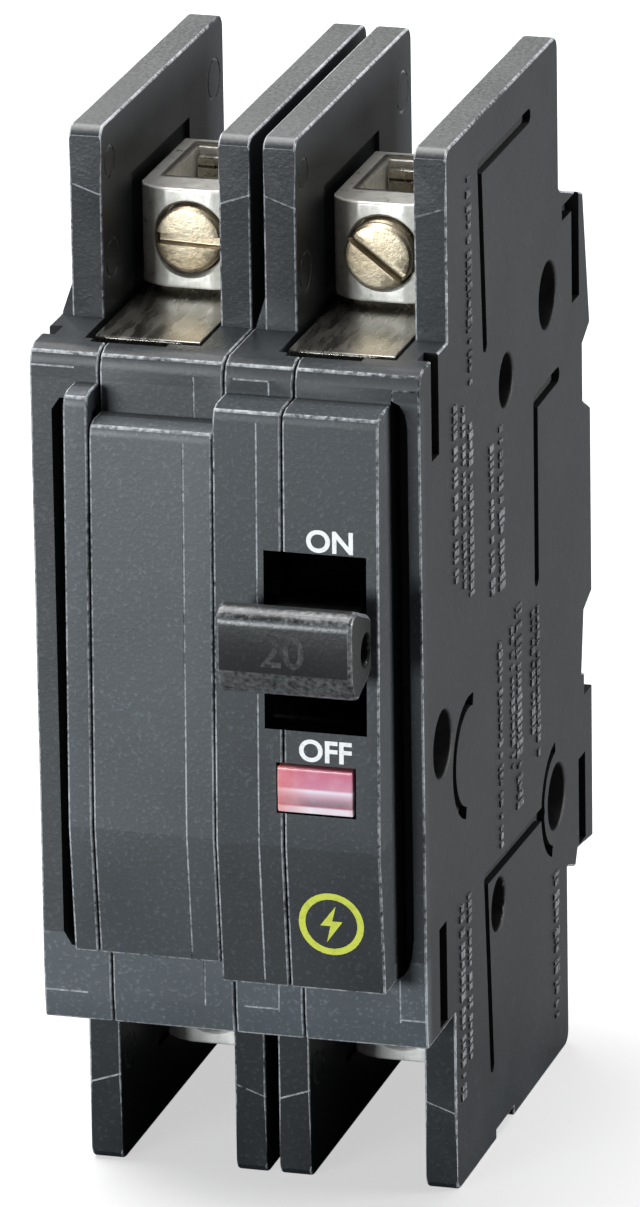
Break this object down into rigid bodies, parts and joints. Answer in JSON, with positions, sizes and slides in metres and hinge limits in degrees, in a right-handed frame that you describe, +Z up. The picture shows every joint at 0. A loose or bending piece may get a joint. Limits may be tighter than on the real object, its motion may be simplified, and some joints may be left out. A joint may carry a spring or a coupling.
{
  "type": "two-pole circuit breaker",
  "caption": "Two-pole thermal-magnetic circuit breaker with box lugs between barrier ears, a tied handle on the right pole, a red trip window and grooves for a 35 mm rail.",
  "frame": {"origin": "middle of the footprint on the surface that the lower ears stand on", "axes": "+Z up, from load to line terminals; -Y out of the handle face; +X to the right seen from the handle side"},
  "size_m": [0.0382, 0.0758, 0.1046],
  "materials": {
    "case": "satin black moulded thermoset with fine grain and worn light edges",
    "handle": "satin black, rubbed shinier on its edges",
    "lens": "red translucent plastic",
    "flag": "red",
    "lug": "tin plated, bright, with fine tumbling marks",
    "screw": "yellowish plate, turned face",
    "copper": "bare copper",
    "silver": "silver alloy",
    "steel": "zinc plated",
    "trip_plastic": "natural moulding"
  },
  "bodies": {
    "case": {"left_pole_cover": "case", "left_pole_base": "case", "right_pole_cover": "case", "right_pole_base": "case", "indicator_lens": "lens", "line_lug_left": "lug", "line_lug_right": "lug", "load_lug_left": "lug", "load_lug_right": "lug", "line_strap_left": "lug", "line_strap_right": "lug", "load_strap_left": "lug", "load_strap_right": "lug", "fixed_contact_left": "silver", "fixed_contact_right": "silver", "arm_pin_left": "steel", "arm_pin_right": "steel", "bimetal_left": "copper", "bimetal_right": "copper", "magnet_yoke_left": "steel", "magnet_yoke_right": "steel", "braid_left": "copper", "braid_right": "copper", "arc_chute_left": "steel", "arc_chute_right": "steel", "rail_hook_left": "steel", "rail_hook_right": "steel", "rivet_1": "steel", "rivet_2": "steel", "rivet_3": "steel", "rivet_4": "steel", "rivet_5": "steel"},
    "handle": {"handle": "handle", "handle_shaft": "steel"},
    "trip_bar": {"trip_bar": "trip_plastic"},
    "trip_flag": {"trip_flag": "flag"},
    "contact_arm_left": {"contact_arm_left": "copper", "moving_contact_left": "silver", "contact_spring_left": "steel"},
    "cradle_left": {"cradle_left": "steel"},
    "armature_left": {"armature_left": "steel"},
    "rail_latch_left": {"rail_latch_left": "steel"},
    "line_screw_left": {"line_lug_screw_left": "screw"},
    "load_screw_left": {"load_lug_screw_left": "screw"},
    "contact_arm_right": {"contact_arm_right": "copper", "moving_contact_right": "silver", "contact_spring_right": "steel"},
    "cradle_right": {"cradle_right": "steel"},
    "armature_right": {"armature_right": "steel"},
    "rail_latch_right": {"rail_latch_right": "steel"},
    "line_screw_right": {"line_lug_screw_right": "screw"},
    "load_screw_right": {"load_lug_screw_right": "screw"}
  },
  "joints": [
    {"name": "handle_pivot", "type": "hinge", "parent": "case", "child": "handle", "pos_m": [0, -0.015, 0.0612], "axis": [-1, 0, 0], "range_deg": [-14, 14]},
    {"name": "contact_arm_pivot_left", "type": "hinge", "parent": "case", "child": "contact_arm_left", "pos_m": [-0.00892, 0.004, 0.046], "axis": [1, 0, 0], "range_deg": [-12, 12]},
    {"name": "contact_arm_pivot_right", "type": "hinge", "parent": "case", "child": "contact_arm_right", "pos_m": [0.01013, 0.004, 0.046], "axis": [1, 0, 0], "range_deg": [-12, 12]},
    {"name": "cradle_pivot_right", "type": "hinge", "parent": "case", "child": "cradle_right", "pos_m": [0.0137, 0, 0.063], "axis": [1, 0, 0], "range_deg": [0, 16]},
    {"name": "cradle_pivot_left", "type": "hinge", "parent": "case", "child": "cradle_left", "pos_m": [-0.00535, 0, 0.063], "axis": [1, 0, 0], "range_deg": [0, 16]},
    {"name": "trip_flag_slide", "type": "slide", "parent": "case", "child": "trip_flag", "axis": [0, 0, 1], "range_m": [-0.0056, 0]},
    {"name": "armature_pivot_right", "type": "hinge", "parent": "case", "child": "armature_right", "pos_m": [0.0101, 0.0228, 0.066], "axis": [1, 0, 0], "range_deg": [0, 5], "stiffness_Nm_per_rad": 0.002, "springref_deg": -5.73},
    {"name": "armature_pivot_left", "type": "hinge", "parent": "case", "child": "armature_left", "pos_m": [-0.00895, 0.0228, 0.066], "axis": [1, 0, 0], "range_deg": [0, 5]},
    {"name": "trip_bar_pivot", "type": "hinge", "parent": "case", "child": "trip_bar", "pos_m": [0, 0.028, 0.068], "axis": [1, 0, 0], "range_deg": [0, 10]},
    {"name": "line_screw_turn_left", "type": "hinge", "parent": "case", "child": "line_screw_left", "pos_m": [-0.00892, -0.005, 0.09135], "axis": [0, -1, 0], "continuous": true},
    {"name": "load_screw_turn_left", "type": "hinge", "parent": "case", "child": "load_screw_left", "pos_m": [-0.00892, -0.002, 0.01315], "axis": [0, -1, 0], "continuous": true},
    {"name": "line_screw_turn_right", "type": "hinge", "parent": "case", "child": "line_screw_right", "pos_m": [0.01013, -0.005, 0.09135], "axis": [0, -1, 0], "continuous": true},
    {"name": "load_screw_turn_right", "type": "hinge", "parent": "case", "child": "load_screw_right", "pos_m": [0.01013, -0.002, 0.01315], "axis": [0, -1, 0], "continuous": true},
    {"name": "rail_latch_slide_left", "type": "slide", "parent": "case", "child": "rail_latch_left", "axis": [0, 0, -1], "range_m": [0, 0.003], "stiffness_N_per_m": 300, "springref_m": -0.002},
    {"name": "rail_latch_slide_right", "type": "slide", "parent": "case", "child": "rail_latch_right", "axis": [0, 0, -1], "range_m": [0, 0.003], "stiffness_N_per_m": 300, "springref_m": -0.002}
  ],
  "couplings": [
    {"joint": "contact_arm_pivot_left", "follows": "handle_pivot", "ratio": 0.857},
    {"joint": "contact_arm_pivot_right", "follows": "handle_pivot", "ratio": 0.857},
    {"joint": "cradle_pivot_left", "follows": "cradle_pivot_right", "ratio": 1},
    {"joint": "trip_flag_slide", "follows": "cradle_pivot_right", "m_per_rad": -0.0196},
    {"joint": "armature_pivot_left", "follows": "armature_pivot_right", "ratio": 1},
    {"joint": "trip_bar_pivot", "follows": "armature_pivot_right", "ratio": 2}
  ]
}
